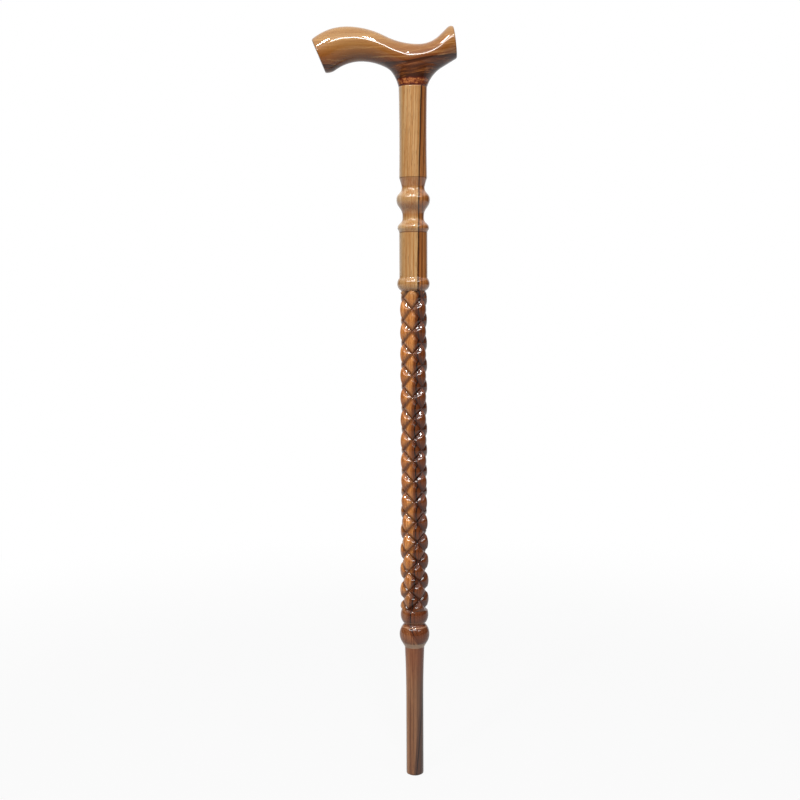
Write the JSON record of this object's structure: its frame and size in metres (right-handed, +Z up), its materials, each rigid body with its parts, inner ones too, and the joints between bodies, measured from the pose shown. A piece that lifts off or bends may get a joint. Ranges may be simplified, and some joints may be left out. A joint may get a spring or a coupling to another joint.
{
  "type": "walking cane",
  "caption": "Wooden walking cane with a derby handle and a turned shaft carved with a lattice of raised diamonds, for support while walking.",
  "frame": {"origin": "centre of the flat bottom face of the tip", "axes": "+Z up along the shaft's axis; the grip's nose points to -X and the short tail to +X; +Y across the handle"},
  "size_m": [0.169, 0.0398, 0.9],
  "materials": {
    "shaft_wood": "tan to red-brown hardwood with a dark heartwood streak, glossy clear lacquer",
    "handle_wood": "honey and dark brown hardwood, grain along the grip, glossy clear lacquer",
    "cured_glue": "dark red cured adhesive, lacquered over",
    "stud_steel": "zinc-plated steel"
  },
  "bodies": {
    "root": {"shaft": "shaft_wood", "joint_glue": "cured_glue", "joining_stud": "stud_steel", "handle": "handle_wood"}
  },
  "joints": []
}
